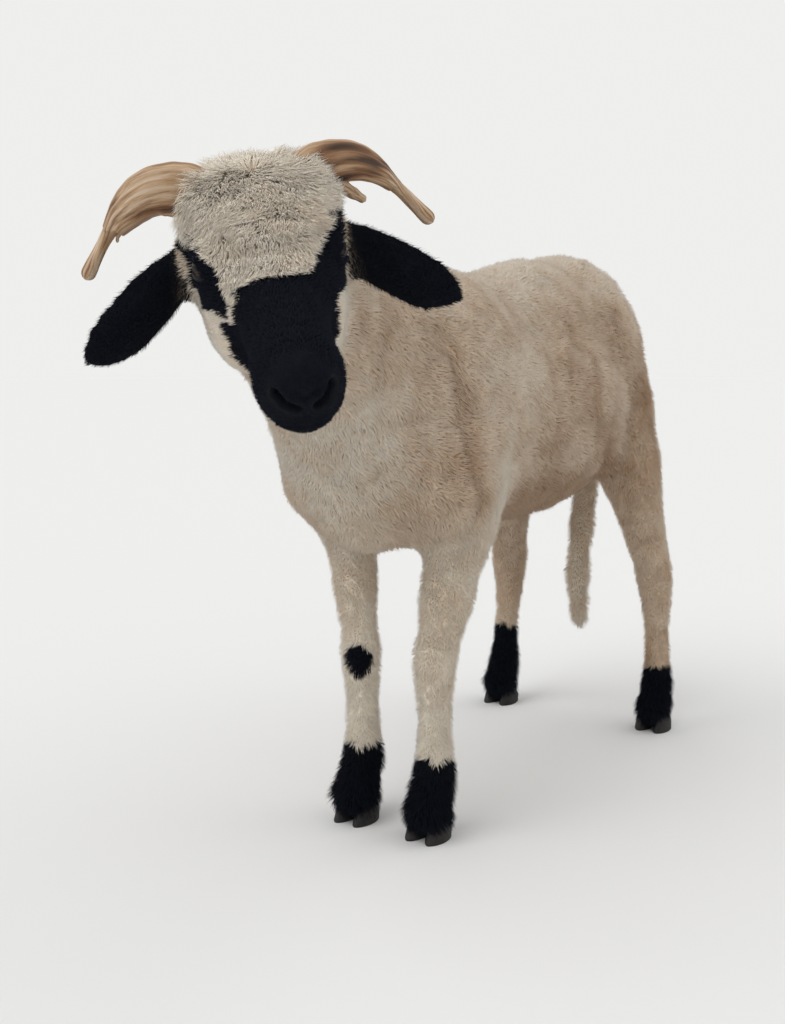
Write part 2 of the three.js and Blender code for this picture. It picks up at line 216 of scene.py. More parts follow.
def rampOf(tree, stops):
    ramp = tree.nodes.new("ShaderNodeValToRGB")
    while len(ramp.color_ramp.elements) < len(stops):
        ramp.color_ramp.elements.new(0.5)
    for element, (place, colour) in zip(ramp.color_ramp.elements, stops):
        element.position = place
        element.color = (*colour, 1)
    return ramp


def attributeNode(tree, name):
    node = tree.nodes.new("ShaderNodeAttribute")
    node.attribute_name = name
    return node.outputs["Fac"]


def noiseNode(tree, scale, detail=3, rough=0.5, vector=None):
    node = tree.nodes.new("ShaderNodeTexNoise")
    node.inputs["Scale"].default_value = scale
    node.inputs["Detail"].default_value = detail
    node.inputs["Roughness"].default_value = rough
    if vector is None:
        vector = tree.nodes.new("ShaderNodeTexCoord").outputs["Object"]
    tree.links.new(vector, node.inputs["Vector"])
    return node.outputs["Fac"]


def mixNode(tree, kind, fac, first, second):
    node = tree.nodes.new("ShaderNodeMix")
    node.data_type = "RGBA"
    node.blend_type = kind
    sockets = {"Factor": node.inputs[0], "A": node.inputs[6], "B": node.inputs[7]}
    for socket, value in (("Factor", fac), ("A", first), ("B", second)):
        if isinstance(value, bpy.types.NodeSocket):
            tree.links.new(value, sockets[socket])
        elif isinstance(value, tuple):
            sockets[socket].default_value = (*value, 1)
        else:
            sockets[socket].default_value = value
    return node.outputs[2]


# The colour of wool and hair from how dark, how pale and how near the tip it is, with painted shade towards
# the roots and a painted highlight on the tips of black hair
def makeFleeceGroup():
    group = bpy.data.node_groups.new("fleeceColour", "ShaderNodeTree")
    for name in ("Dark", "Tone", "Tip"):
        group.interface.new_socket(name, in_out="INPUT", socket_type="NodeSocketFloat")
    group.interface.new_socket("Colour", in_out="OUTPUT", socket_type="NodeSocketColor")
    come = group.nodes.new("NodeGroupInput")
    go = group.nodes.new("NodeGroupOutput")
    look = coatLook
    wool = rampOf(group, [(0.0, look["tan"]), (0.45, look["cream"]), (1.0, look["pale"])])
    group.links.new(come.outputs["Tone"], wool.inputs["Fac"])
    # Painted shade: each tuft darker towards its root
    shade = rampOf(group, [(0.0, look["root"]), (0.7, (1.0, 1.0, 1.0))])
    group.links.new(come.outputs["Tip"], shade.inputs["Fac"])
    shaded = mixNode(group, "MULTIPLY", 1.0, wool.outputs["Color"], shade.outputs["Color"])
    grain = rampOf(group, [(0.3, (0.91, 0.89, 0.87)), (0.7, (1.0, 1.0, 1.0))])
    group.links.new(noiseNode(group, look["grain"], 3, 0.7), grain.inputs["Fac"])
    grained = mixNode(group, "MULTIPLY", 1.0, shaded, grain.outputs["Color"])
    # Black hair: painted shade at the root and a painted highlight towards the tip
    hair = rampOf(group, [(0.3, look["black"]), (1.0, look["blackTipHighlight"])])
    group.links.new(come.outputs["Tip"], hair.inputs["Fac"])
    colour = mixNode(group, "MIX", come.outputs["Dark"], grained, hair.outputs["Color"])
    group.links.new(colour, go.inputs["Colour"])
    return group


fleeceGroup = makeFleeceGroup()


def bumpInto(tree, shader, height, strength, distance):
    bump = tree.nodes.new("ShaderNodeBump")
    bump.inputs["Strength"].default_value = strength
    bump.inputs["Distance"].default_value = distance
    tree.links.new(height, bump.inputs["Height"])
    tree.links.new(bump.outputs["Normal"], shader.inputs["Normal"])


def fleeceMaterial(name, **settings):
    material, tree, shader = newMaterial(name, Roughness=0.92, **settings)
    fleece = tree.nodes.new("ShaderNodeGroup")
    fleece.node_tree = fleeceGroup
    for socket, attribute in (("Dark", "dark"), ("Tone", "tone"), ("Tip", "tip")):
        tree.links.new(attributeNode(tree, attribute), fleece.inputs[socket])
    tree.links.new(fleece.outputs["Colour"], shader.inputs["Base Color"])
    bumpInto(tree, shader, noiseNode(tree, 1100, 4, 0.65), 0.5, 0.6 * mm)
    return material


# The skin is moist where it is bare, at the nostrils, the lips and the lids
def skinMaterialOf():
    material = fleeceMaterial("skin", Specular_IOR_Level=0.12)
    tree = material.node_tree
    moist = rampOf(tree, [(0.0, (0.92, 0.92, 0.92)), (1.0, (0.38, 0.38, 0.38))])
    tree.links.new(attributeNode(tree, "bare"), moist.inputs["Fac"])
    tree.links.new(moist.outputs["Color"], tree.nodes["Principled BSDF"].inputs["Roughness"])
    return material


skinMaterial = skinMaterialOf()
coatMaterials = {
    "pale_coat": fleeceMaterial("wool", Specular_IOR_Level=0.12, Sheen_Weight=0.2, Sheen_Roughness=0.5),
    "dark_coat": fleeceMaterial("hair", Specular_IOR_Level=0.06),
}

# The eyes' places, for the lids, the coat and the eyes themselves

eyeLook = {
    "centre": (46.9, 4.6, 22.05),  # in the head's own millimetres, the left one
    "axis": (0.97, -0.19, 0.146),
    "radius": 12.73,
    "slit": (11.6, 6.6),  # half the length and height of the opening
    "lid": 1.5,
    "reach": 30,  # how far round the eye the lids are shaped
    "sunk": 5,  # how far the opening lies inside the eyeball
    "creases": [(1.3, 1.8, 0.17, (-1, 3)), (0.7, 1.9, 0.2, (1, -3))],  # depth, place, width, levels
}


def eyeCentre(side):
    return np.array(eyeLook["centre"]) * (side, 1, 1)


# The eye's own axes in the head: out of the head, forward along the slit, and up
def eyeAxes(side):
    out = Vector((eyeLook["axis"][0] * side, *eyeLook["axis"][1:])).normalized()
    ahead = Vector((0, -1, -0.18))
    ahead = (ahead - out * ahead.dot(out)).normalized()
    up = ahead.cross(out) * side
    return out, ahead, up


hornLook = {
    "line": [
        (40, 66, 52), (55, 70, 58), (78, 70, 60), (100, 75, 47), (119, 84, 24), (134, 82, 6), (145, 73, -6),
    ],
    "root": (15.5, 23),  # half the thickness and half the height
    "tip": 6,
    "lip": {1: 0.68, -1: 0.66},  # how far along the outer shell ends, on the left and the right
    "drop": {1: 0.14, -1: 0.36},  # and the step down from it
    "slims": {1: (0.0, 0.74), -1: (0.12, 0.84)},  # from where to where the horn gets thinner
    "fold": {"wide": 0.13, "deep": 0.13},
    "groove": {"middle": 0.31, "deep": {1: 0.20, -1: 0.06}},
}

# The skin: the flesh solids as one surface, smoothed and drawn in by the coat's depth

skinShape = {
    "voxel": 5.0 * mm,
    "swell": 0.8 * mm,  # closes the thin cuts between the solids
    "face": {"ahead": (-170, 30), "aside": 75, "above": 90},  # where the mesh is finer, from the head
    "nose": {"centre": (0, -142, -24), "broader": 1.2, "reach": 30},  # and where it is finer still
    "eyeReach": 27,
    "blends": 6,  # rounds that run the parts into each other
    "passes": 32,
    "pull": 0.6,
    "neckBlend": 3,  # smooths the step between head and neck
    "soleLevel": 15 * mm,  # the skin stops inside the claws
}
fleshNames = [
    "head", "neck", "trunk", "tail", "ear_left", "ear_right",
    "fore_leg_left", "fore_leg_right", "hind_leg_left", "hind_leg_right",
]
parts = ["head", "neck", "trunk", "tail", "ear", "foreLeg", "hindLeg"]  # what a place of the skin belongs to
partOfNode = {name: parts.index("ear" if name.startswith("ear") else name) for name in fleshNames[:6]}
partOfNode.update({name: parts.index("foreLeg" if "fore" in name else "hindLeg") for name in fleshNames[6:]})


def mergedCopy(name, swell=0.0):
    copy = bmesh.new()
    copy.from_mesh(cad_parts[name].data)
    bmesh.ops.remove_doubles(copy, verts=copy.verts, dist=0.01 * mm)
    copy.normal_update()
    for vert in copy.verts:
        vert.co += vert.normal * swell
    return copy


def joinedMesh(name, copies):
    mesh = bpy.data.meshes.new(name)
    whole = bmesh.new()
    for copy in copies:
        copy.to_mesh(mesh)
        copy.free()
        whole.from_mesh(mesh)
    whole.to_mesh(mesh)
    whole.free()
    return mesh


# For every place, the part of the body that it lies on
def partsAt(points):
    verts, faces, owners = [], [], []
    for name in fleshNames:
        copy = mergedCopy(name)
        start = len(verts)
        verts += [vert.co.copy() for vert in copy.verts]
        faces += [[start + vert.index for vert in face.verts] for face in copy.faces]
        owners += [partOfNode[name]] * len(copy.faces)
        copy.free()
    tree = BVHTree.FromPolygons(verts, faces)
    owners = np.array(owners)
    nearest = [tree.find_nearest(point)[2] for point in points.tolist()]
    return np.eye(len(parts))[owners[nearest]]


hornPlugShape = {"centre": (44, 66, 52), "half": (17, 16, 24)}


# Fills the head where a horn comes out of it
def hornPlug(side):
    centre, half = hornPlugShape["centre"], hornPlugShape["half"]
    plug = bmesh.new()
    bmesh.ops.create_icosphere(plug, subdivisions=3, radius=1)
    for vert in plug.verts:
        x, y, z = vert.co
        vert.co = onHead(side * centre[0] + x * half[0], centre[1] + y * half[1], centre[2] + z * half[2])
    return plug


def faceVerts(fine):
    return fromHead(np.array([vert.co for vert in fine.verts]))


# Splits the edges that lie wholly inside an area
def refine(fine, isInside):
    edges = [edge for edge in fine.edges if all(isInside[vert.index] for vert in edge.verts)]
    bmesh.ops.subdivide_edges(fine, edges=edges, cuts=1, use_grid_fill=True)
    fine.verts.index_update()


def makeSkin():
    names = fleshNames + clawNames() + ["eye_left", "eye_right"]
    copies = [mergedCopy(name, skinShape["swell"]) for name in names]
    mesh = joinedMesh("skin", copies + [hornPlug(1), hornPlug(-1)])
    skin = addObject("skin", mesh)
    remesh = skin.modifiers.new("Remesh", "REMESH")
    remesh.mode = "VOXEL"
    remesh.voxel_size = skinShape["voxel"]
    graph = bpy.context.evaluated_depsgraph_get()
    solid = bpy.data.meshes.new_from_object(skin.evaluated_get(graph))
    skin.modifiers.clear()
    skin.data = solid
    solid.name = "skin"
    bpy.data.meshes.remove(mesh)

    fine = bmesh.new()
    fine.from_mesh(solid)
    bmesh.ops.delete(fine, geom=strayVerts(fine), context="VERTS")
    onFace = faceVerts(fine)
    face = skinShape["face"]
    isFace = (onFace[:, 1] > face["ahead"][0]) & (onFace[:, 1] < face["ahead"][1])
    isFace &= (np.abs(onFace[:, 0]) < face["aside"]) & (np.abs(onFace[:, 2]) < face["above"])
    refine(fine, isFace)
    onFace = faceVerts(fine)
    nose = skinShape["nose"]
    isFine = np.linalg.norm((onFace - nose["centre"]) / (nose["broader"], 1, 1), axis=1) < nose["reach"]
    for side in (1, -1):
        isFine |= np.linalg.norm(onFace - eyeCentre(side), axis=1) < skinShape["eyeReach"]
    refine(fine, isFine)
    fine.to_mesh(solid)
    fine.free()
    return skin


# The verts outside the biggest connected piece
def strayVerts(fine):
    fine.verts.index_update()
    seen = np.zeros(len(fine.verts), bool)
    islands = []
    for start in fine.verts:
        if seen[start.index]:
            continue
        seen[start.index] = True
        island, queue = [start], [start]
        while queue:
            for edge in queue.pop().link_edges:
                for vert in edge.verts:
                    if not seen[vert.index]:
                        seen[vert.index] = True
                        island.append(vert)
                        queue.append(vert)
        islands.append(island)
    islands.sort(key=len)
    return [vert for island in islands[:-1] for vert in island]


skin = makeSkin()
skinMesh = skin.data
mean = neighboursMean(skinMesh)
print("skin remeshed:", len(skinMesh.vertices), "verts")

weights = partsAt(placesOf(skinMesh))
for _ in range(skinShape["blends"]):
    weights = mean(weights)
weights /= weights.sum(axis=1, keepdims=True)
weight = dict(zip(parts, weights.T))
places = placesOf(skinMesh)

# How much each part is smoothed
polish = {"head": 0.35, "neck": 1.0, "trunk": 1.0, "tail": 0.5, "ear": 0.12, "foreLeg": 0.45, "hindLeg": 0.5}
ease = sum(weight[part] * value for part, value in polish.items())
ease = np.minimum(ease + skinShape["neckBlend"] * weight["head"] * weight["neck"], 1)
ease = ease[:, None] * skinShape["pull"]
for _ in range(skinShape["passes"]):
    places += (mean(places) - places) * ease
move(skinMesh, places)


earTip = {"share": 0.36, "rows": 24, "fullFrom": 0.5}  # the ear is at its full width before its tip


# Rounds the end of an ear: it narrows towards its tip like half an ellipse
def roundEar(places, isEar):
    points = places[isEar]
    middle = points.mean(axis=0)
    axes = np.linalg.svd(points - middle, full_matrices=False)[2]
    along, width = (points - middle) @ axes[0], (points - middle) @ axes[1]
    aside = fromHead(middle[None])[0, 0]
    if fromHead(middle + axes[:1])[0, 0] * aside < aside**2:
        along = -along
    share = (along - along.min()) / np.ptp(along)
    count, tip = earTip["rows"], earTip["share"]
    rows = np.minimum((share * count).astype(int), count - 1)
    reach = np.array([[width[rows == row].min(), width[rows == row].max()] for row in range(count)])
    rowShares = (np.arange(count) + 0.5) / count
    centre = np.interp(share, rowShares, reach.mean(axis=1))
    half = np.interp(share, rowShares, np.ptp(reach, axis=1) / 2)
    full = half[(share > earTip["fullFrom"]) & (share < 1 - tip)].mean()
    wanted = full * roundedEnd((share - 1 + tip) / tip, least=0.01)
    size = np.where(share > 1 - tip, np.minimum(wanted / np.maximum(half, 1e-6), 1), 1)
    places[isEar] += ((width - centre) * (size - 1))[:, None] * axes[1]


for side in (1, -1):
    roundEar(places, (weight["ear"] > 0.5) & (fromHead(places)[:, 0] * side > 0))
move(skinMesh, places)

# The coat's depth over the body, in millimetres, and what some areas add to it
depths = {"head": 4.0, "neck": 6.2, "trunk": 6.2, "tail": 7.5, "ear": 2.6, "foreLeg": 5.2, "hindLeg": 5.2}
x, y, z = fromHead(places).T
pollWool = weight["head"] * smooth(20, 54, z + 0.55 * (y - 10)) * (1 - 0.7 * smooth(66, 96, y))
brow = weight["head"] * smooth(10, 28, z) * smooth(-60, -40, y)
noseTip = weight["head"] * smooth(-112, -134, y)
foot = np.maximum(weight["foreLeg"], weight["hindLeg"]) * smooth(95 * mm, 60 * mm, places[:, 2])
belly = weight["trunk"] * smooth(0.44, 0.40, places[:, 2])  # its wool hangs
depth = sum(weight[part] * value for part, value in depths.items())
for area, extra in ((brow, 1.6), (pollWool, 1.5), (foot, 2), (noseTip, -1.8), (belly, -2)):
    depth = depth + area * extra
depth = depth[:, None] * mm
for _ in range(12):
    depth = mean(depth)
steps = 4
for _ in range(steps):
    places = placesOf(skinMesh) - normalsOf(skinMesh) * depth / steps
    places += (mean(places) - places) * ease * 0.5
    move(skinMesh, places)
print("skin drawn in")

# Carving: eye sockets and lids, nostrils, mouth, and the folds of the body

# 1 along the rim of the lids, less within the opening and more outside it
def slitAt(forward, upward):
    length, height = eyeLook["slit"]
    return np.hypot(forward / length, upward / (height * (1 - 0.25 * np.clip(forward / length, -1, 1))))


def carveEye(onFace, side):
    out, ahead, up = (np.array(axis) for axis in eyeAxes(side))
    apart = onFace - eyeCentre(side)
    outward, forward, upward = apart @ out, apart @ ahead, apart @ up
    ring = np.hypot(forward, upward)
    near = (outward > -6) & (ring < eyeLook["reach"])
    lid = eyeLook["radius"] + eyeLook["lid"]
    dome = lid - ring**2 / (2 * lid) * 0.98
    raised = np.logaddexp(outward / 1.2, dome / 1.2) * 1.2  # the two surfaces run into each other
    raised = np.where(near, raised, outward)
    slit = slitAt(forward, upward)
    isOpen = smooth(1.02, 0.9, slit) * near
    sunk = raised + (eyeLook["radius"] - eyeLook["sunk"] - raised) * isOpen
    crease = 0
    for deep, place, wide, levels in eyeLook["creases"]:
        crease = crease + deep * bell((slit - place) / wide) * smooth(*levels, upward)
    change = np.where(near, sunk - outward - crease, 0)
    return onFace + change[:, None] * out


# Folds of the skin on the left side, from the middle of the fore feet, with how deep and how wide they are
bodyFolds = {
    "shoulder": {"deep": 5, "wide": 13, "line": [
        (107, -62, 604), (119, -44, 529), (128, -37, 450), (124, 0, 398),
    ]},
    "flank": {"deep": 6, "wide": 16, "line": [
        (150, 262, 520), (138, 300, 480), (118, 372, 439), (91, 403, 400),
    ]},
    "thigh": {"deep": 3, "wide": 12, "line": [(112, 476, 610), (130, 484, 531), (138, 466, 460)]},
    "collar": {"deep": 2, "wide": 18, "line": [(60, -200, 640), (95, -190, 560), (80, -215, 480)]},
}


# How far into a fold points are: 1 at its bottom and 0 outside
def inFold(points, line, wide, reach=1.0):
    within = np.zeros(len(points))
    start = np.array((foreFeet.x, foreFeet.y, 0))
    for side in (1, -1):
        gap, along = fromLine(points, start + np.array(onSide(side, line)) * mm)
        fade = smooth(0, 0.12, along) * smooth(1, 0.88, along)
        within = np.maximum(within, bell(gap / (wide * reach * mm)) * (0.3 + 0.7 * fade))
    return within


# Cuts of the muzzle, with the height, place and width of the swelling beside them
faceCarving = {
    "nostril": {"deep": 7.5, "wide": 3.2, "rim": (1.8, 6.5, 2.4), "line": [
        (8, -148, -20), (16, -144, -17), (22, -136, -9),
    ]},
    "lips": {"deep": 3.4, "wide": 2.0, "rim": (0.9, 5.0, 2.2), "line": [
        (-33, -104, -44), (-31, -112, -42), (-20, -134, -41), (0, -144, -40),
        (20, -134, -41), (31, -112, -42), (33, -104, -44),
    ]},
    "philtrum": {"deep": 2.4, "wide": 2.0, "rim": (0, 0, 1), "line": [(0, -149, -24), (0, -147, -39)]},
}


# The lines lie on the coat's surface, so the skin is measured from its place in the coat
def carveFace(onFace, normals, depth):
    change = np.zeros(len(onFace))
    shell = onFace + normals * depth[:, None]
    for word, side in (("nostril", 1), ("nostril", -1), ("lips", 1), ("philtrum", 1)):
        cut = faceCarving[word]
        gap = fromLine(shell, onSide(side, cut["line"]))[0]
        change -= cut["deep"] * bell(gap / cut["wide"])
        height, place, width = cut["rim"]
        change += height * bell((gap - place) / width)
    return onFace + normals * change[:, None]


places = placesOf(skinMesh)
folded = sum(inFold(places, fold["line"], fold["wide"]) * fold["deep"] for fold in bodyFolds.values())
uneven = lumps(places, 30 * mm, 41) + lumps(places, 11 * mm, 42) * 0.4  # the shears left more or less
change = (folded - uneven * (weight["trunk"] + weight["neck"])) * mm
places -= normalsOf(skinMesh) * change[:, None]
isHead = weight["head"] > 0.5
onFace = fromHead(places[isHead])
headNormals = normalsOf(skinMesh)[isHead] @ headAxes
onFace = carveFace(onFace, headNormals, depth[isHead, 0] / headUnit)
for side in (1, -1):
    onFace = carveEye(onFace, side)
places[isHead] = intoScene(onFace)
places[:, 2] = np.maximum(places[:, 2], skinShape["soleLevel"])
move(skinMesh, places)
skinMesh.polygons.foreach_set("use_smooth", np.ones(len(skinMesh.polygons), bool))

# Markings, worked out the same way for the skin and for every tuft

marks = {
    "noseTop": -46,  # where the black of the nose starts, on the bridge
    "cheek": -26,  # on the cheeks
    "wedge": -43.5,  # and in the pale wedge of the right cheek
    "patchEnd": 64,  # how far back the black round the eyes goes
    "ankle": {"foreLeg": 0.098, "hindLeg": 0.100},
    "rightHindHigher": 0.033,
    "kneeSpot": {"level": 0.205, "size": (0.0138, 0.0215), "aside": 7 * mm, "ahead": 8 * mm},
}


# The black of the nose, and of a patch round each eye that has its own outline on either side
def darkFace(onFace, fringe):
    x, y, z = onFace.T
    side = np.abs(x)
    isLeft = x > 0
    bridge = marks["noseTop"] + 13 * (side / 34) ** 2
    start = bridge + (marks["cheek"] - bridge) * smooth(10, -6, z)
    isWedge = smooth(0, -5, x) * smooth(-9, -4, z) * smooth(27, 31, side)
    start = np.minimum(start, start + (marks["wedge"] - start) * isWedge)
    nose = smooth(-2.2, 2.2, start - y + 1.5 * fringe)
    topLeft = 44 - 0.0040 * (y - 14) ** 2
    topRight = 41 - np.where(y < 8, 0.0146, 0.0067) * (y - 8) ** 2
    top = np.where(isLeft, topLeft, topRight)
    inner = np.where(isLeft, np.clip(20 + (y + 38) * 0.52, 19, 41), 34)
    front = np.where(isLeft, 46, 37)
    low = -14 + 12 * smooth(10, -20, y)
    patch = smooth(-1.2, 1.2, top - z + fringe) * smooth(-1.2, 1.2, z - low + fringe)
    patch *= smooth(-1, 1, y + front + fringe) * smooth(-1.2, 1.2, marks["patchEnd"] - y + fringe)
    patch *= smooth(0, 3, side - inner)
    return np.maximum(nose, patch)


def darkAt(points, weight):
    onFace = fromHead(points)
    x, y, z = onFace.T
    fringe = lumps(points, 7 * mm, 3) * 2.2 + lumps(points, 2.5 * mm, 4) * 1.2
    face = darkFace(onFace, fringe) * (weight["head"] + weight["neck"])
    tuft = smooth(74, 60, np.abs(x)) * smooth(-14, 0, z)  # pale wool at the ear's root
    dark = np.maximum(face, weight["ear"] * (1 - 0.9 * tuft))
    rough = lumps(points, 9 * mm, 5) * 5 * mm + lumps(points, 3 * mm, 6) * 3 * mm
    for part, ankle in marks["ankle"].items():
        higher = marks["rightHindHigher"] if part == "hindLeg" else 0
        level = ankle + np.where(points[:, 0] < 0, higher, 0) + rough
        dark = np.maximum(dark, weight[part] * smooth(-1.5 * mm, 1.5 * mm, level - points[:, 2]))
    knee, mark = middleOf(*clawNames("fore", "right")), marks["kneeSpot"]
    size = mark["size"]
    aside, above = points[:, 0] - knee.x - mark["aside"], points[:, 2] - mark["level"]
    spot = np.hypot(aside / (size[0] * (1 + 0.35 * above / size[1])), above / size[1])
    isFront = (points[:, 1] < knee.y + mark["ahead"]) & (points[:, 0] < foreFeet.x)
    dark = np.maximum(dark, smooth(1.08, 0.92, spot + rough / (9 * mm) * 0.22) * isFront * weight["foreLeg"])
    return np.clip(dark, 0, 1)


# What makes the wool paler or darker than its middle tone: stains and random patches, painted shade in the
# folds, on the belly and on the thighs, and painted light along the back
tones = {
    "middle": 0.50,
    "lumps": [(70, 0.16, 11), (24, 0.13, 12), (8, 0.12, 13)],  # size in millimetres, strength and seed
    "streaks": 0.12,  # they run down the shoulder and the side
    # painted shade: darker in the folds of the skin
    "foldShade": {"shoulder": 0.34, "flank": 0.28, "thigh": 0.12},
    # paler along the back: partly paler wool, partly painted light from above
    "back": 0.34,
    "side": (0.08, 0.10),
    # painted shade under the body
    "belly": 0.50,
    "chest": 0.36,
    "head": 0.46,
    "tail": (0.10, 0.15),
    "foreLeg": (0.30, 0.20),
    "hindLeg": (0.10, 0.14),
}


# How pale the wool is: 0 is dark tan, from stains and painted shade, and 1 is nearly white
def toneAt(points, weight):
    body = weight["trunk"] + weight["neck"]
    legs = weight["foreLeg"] + weight["hindLeg"]
    x, y, z = points.T
    y = y - foreFeet.y
    tone = tones["middle"]
    for size, strength, seed in tones["lumps"]:
        tone = tone + strength * lumps(points, size * mm, seed)
    streaks = smooth(0.15, 0.75, lumps(points * (1, 1, 0.35), 17 * mm, 14))
    tone -= tones["streaks"] * streaks * smooth(0.36, 0.48, z) * smooth(0.70, 0.60, z) * body
    # Painted shade in the creases of the folds
    for name, strength in tones["foldShade"].items():
        fold = inFold(points, bodyFolds[name]["line"], bodyFolds[name]["wide"], 1.5)
        tone -= strength * fold * (1 - 0.5 * legs)
    # Paler along the back: partly paler wool, partly painted light from above
    tone += tones["back"] * smooth(0.60, 0.71, z) * body
    whole, lower = tones["side"]
    tone -= (whole + lower * smooth(0.64, 0.56, z)) * smooth(0.1, 0.2, y) * body
    # Painted shade: darker on the belly, under the body
    tone -= tones["belly"] * smooth(0.45, 0.38, z) * smooth(-0.02, 0.06, y) * body
    tone += tones["chest"] * smooth(-0.06, -0.17, y) * smooth(0.60, 0.46, z) * body
    tone += tones["head"] * weight["head"]
    whole, lower = tones["tail"]
    tone += whole * weight["tail"] + lower * weight["tail"] * smooth(0.42, 0.28, z)
    whole, lower = tones["foreLeg"]
    tone += whole * weight["foreLeg"] + lower * weight["foreLeg"] * smooth(0.30, 0.16, z)
    # Darker hind legs, more so up on the thighs: partly stain, partly painted shade
    whole, upper = tones["hindLeg"]
    tone -= (whole + upper * smooth(0.28, 0.42, z)) * weight["hindLeg"]
    return np.clip(tone, 0, 1)


places = placesOf(skinMesh)
addAttribute(skinMesh, "dark", darkAt(places, weight))
addAttribute(skinMesh, "tone", toneAt(places, weight))
# Painted shade: the skin under the coat takes the darkened colour of the tufts' roots
addAttribute(skinMesh, "tip", np.full(len(places), 0.35))
skinMesh.materials.append(skinMaterial)
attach(skin, "root")
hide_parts(*fleshNames)
print("skin carved and marked")

# The unwrap that places every tuft's patch in the coat's map

def unwrap(obj):
    bpy.context.view_layer.objects.active = obj
    obj.select_set(True)
    obj.data.uv_layers.new(name="OFBake")
    bpy.ops.object.mode_set(mode="EDIT")
    bpy.ops.mesh.select_all(action="SELECT")
    bpy.ops.uv.smart_project(angle_limit=math.radians(70), island_margin=0.004)
    bpy.ops.object.mode_set(mode="OBJECT")
    obj.select_set(False)


unwrap(skin)
print("skin unwrapped")

# The coat

rng = np.random.default_rng(7)


# The way the coat lies, before it is laid on the skin
def lieOf(places, normals, weight):
    onFace = fromHead(places)
    x, y, z = onFace.T
    side = np.sign(x)
    flat = np.ones(len(x))
    lie = weight["trunk"][:, None] * (0, 1, -0.45)
    lie += weight["neck"][:, None] * unit(np.array([[-0.1, 0.75, -0.65]]))
    lie += (weight["foreLeg"] + weight["hindLeg"])[:, None] * (0, 0.25, -1)
    lie += weight["tail"][:, None] * (0, 0, -1)
    onEar = np.stack([side * 0.85, flat * -0.25, flat * -0.5], 1)
    lie += weight["ear"][:, None] * (onEar @ headAxes.T)
    parting = smooth(66, 36, y + 14 * lumps(places, 14 * mm, 25))  # forward before it and back behind it
    onBrow = np.stack([x * 0.014, 0.6 - 1.3 * parting, 0.25 - 0.7 * parting], 1)
    onNose = np.stack([x * 0.008, flat * 0.9, flat * -0.35], 1)
    isBrow = (brow * (1 - darkAt(places, weight)))[:, None]
    lie += weight["head"][:, None] * ((onBrow * isBrow + onNose * (1 - isBrow)) @ headAxes.T)
    lie -= normals * np.sum(lie * normals, axis=1, keepdims=True)
    return unit(lie)


places = placesOf(skinMesh)
normals = normalsOf(skinMesh)
lie = lieOf(places, normals, weight)
for _ in range(10):
    lie = mean(lie)
    lie -= normals * np.sum(lie * normals, axis=1, keepdims=True)
    lie = unit(lie)
isWool = np.clip(np.maximum(pollWool, brow * (1 - darkAt(places, weight))), 0, 1)
low = smooth(95 * mm, 60 * mm, places[:, 2]) * (weight["foreLeg"] + weight["hindLeg"])

# Length, width and lift of the tufts over the body, and how many grow on a square centimetre
coats = {
    "trunk": {"length": 12.5, "width": 1.6, "lift": 28, "density": 22.6, "swirl": 0.4},
    "neck": {"length": 12.5, "width": 1.5, "lift": 28, "density": 26, "swirl": 0.4},
    "tail": {"length": 12.0, "width": 1.5, "lift": 42, "density": 28, "swirl": 0.5},
    "foreLeg": {"length": 9.5, "width": 1.3, "lift": 35, "density": 31, "swirl": 0.45},
    "hindLeg": {"length": 10.0, "width": 1.4, "lift": 35, "density": 28, "swirl": 0.45},
    "head": {"length": 6.0, "width": 1.0, "lift": 34, "density": 58, "swirl": 0.25},
    "ear": {"length": 5.5, "width": 1.0, "lift": 32, "density": 48, "swirl": 0.3},
    "brow": {"length": 10.0, "width": 0.9, "lift": 23, "density": 90, "swirl": 0.4},
    "poll": {"length": 17.5, "width": 1.05, "lift": 32, "density": 103, "swirl": 0.55},
    "hornRoot": {"length": 20.0, "width": 1.0, "lift": 38, "density": 100, "swirl": 0.4},
    "noseTip": {"length": 3.2, "width": 0.8, "lift": 28, "density": 80, "swirl": 0.2},
    "foot": {"length": 18.0, "width": 1.25, "lift": 22, "density": 46, "swirl": 0.3},
}
onFace = fromHead(places)
hornGaps = [fromLine(onFace, onSide(side, hornLook["line"]))[0] for side in (1, -1)]
hornGap = np.min(hornGaps, axis=0)
areaShares = {
    "brow": brow * (1 - 0.75 * darkAt(places, weight)),
    "poll": pollWool,
    "noseTip": noseTip,
    "hornRoot": weight["head"] * smooth(36, 24, hornGap),
    "foot": low,
}


def coatField(word):
    field = sum(weight[part] * coats[part][word] for part in parts)
    for area, share in areaShares.items():
        field = field + share * (coats[area][word] - field)
    return field


fields = {word: coatField(word) for word in coats["trunk"]}

skinMesh.calc_loop_triangles()
corners = rowsOf(skinMesh.loop_triangles, "vertices", 3, int)
cornerLoops = rowsOf(skinMesh.loop_triangles, "loops", 3, int)
skinUv = np.zeros((len(skinMesh.loops), 2))
skinUv = rowsOf(skinMesh.uv_layers["OFBake"].data, "uv", 2)
first, second, third = places[corners].transpose(1, 0, 2)
areas = np.linalg.norm(np.cross(second - first, third - first), axis=1) / 2

